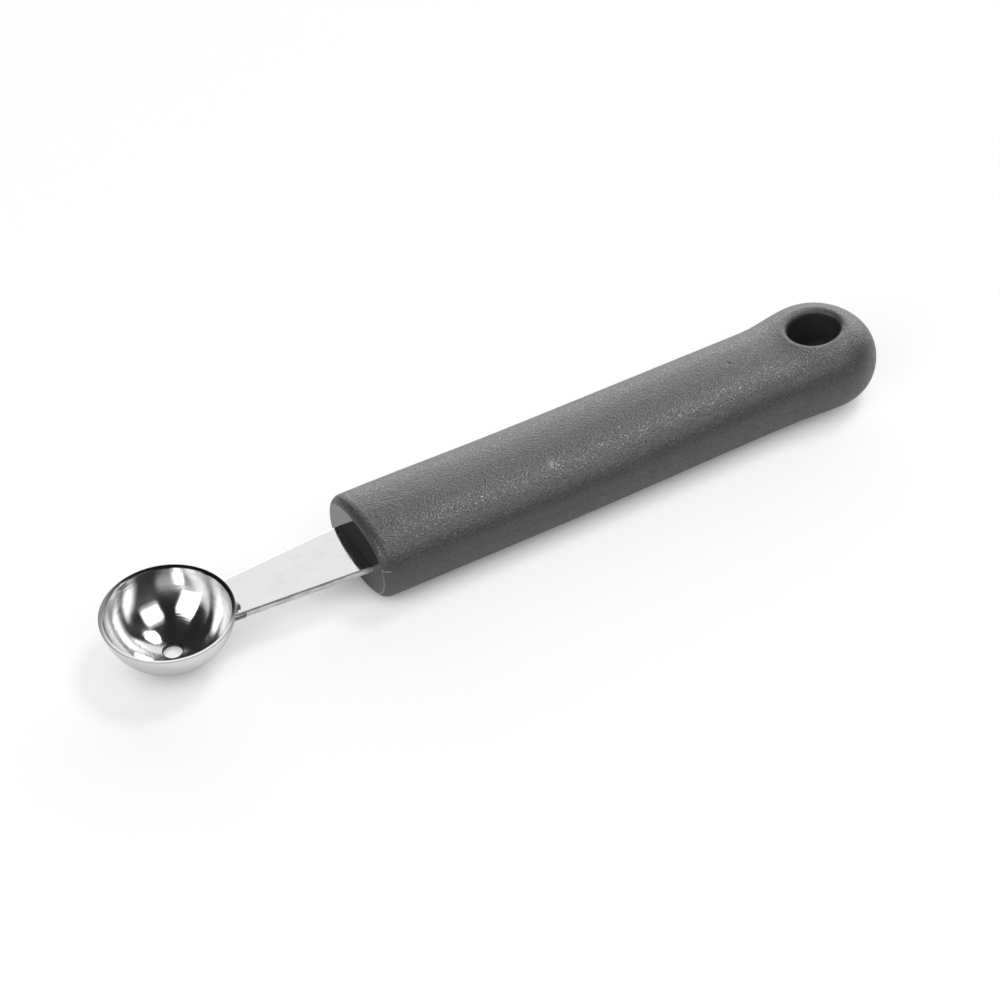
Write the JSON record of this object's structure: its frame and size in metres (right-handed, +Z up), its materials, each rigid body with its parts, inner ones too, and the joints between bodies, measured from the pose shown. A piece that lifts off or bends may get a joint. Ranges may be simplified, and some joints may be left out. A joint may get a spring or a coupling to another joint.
{
  "type": "melon baller",
  "caption": "Melon baller with a vented steel cup welded to a flat steel strip and a moulded plastic handle with a hang hole.",
  "frame": {"origin": "middle of the whole length and width, on the table that the tool lies on", "axes": "+X along the tool from the cup to the handle's tail, +Y across it, +Z up out of the cup's mouth"},
  "size_m": [0.1688, 0.025, 0.0168],
  "materials": {
    "cup_steel": "mirror polished",
    "strip_steel": "bright tumbled",
    "weld_metal": "dull, as welded",
    "handle_plastic": "fine spark-eroded grain, with a polished front face"
  },
  "bodies": {
    "root": {"scoop_bowl": "cup_steel", "shank": "strip_steel", "top_bead_left": "weld_metal", "top_bead_right": "weld_metal", "edge_bead_left": "weld_metal", "edge_bead_right": "weld_metal", "handle": "handle_plastic"}
  },
  "joints": []
}
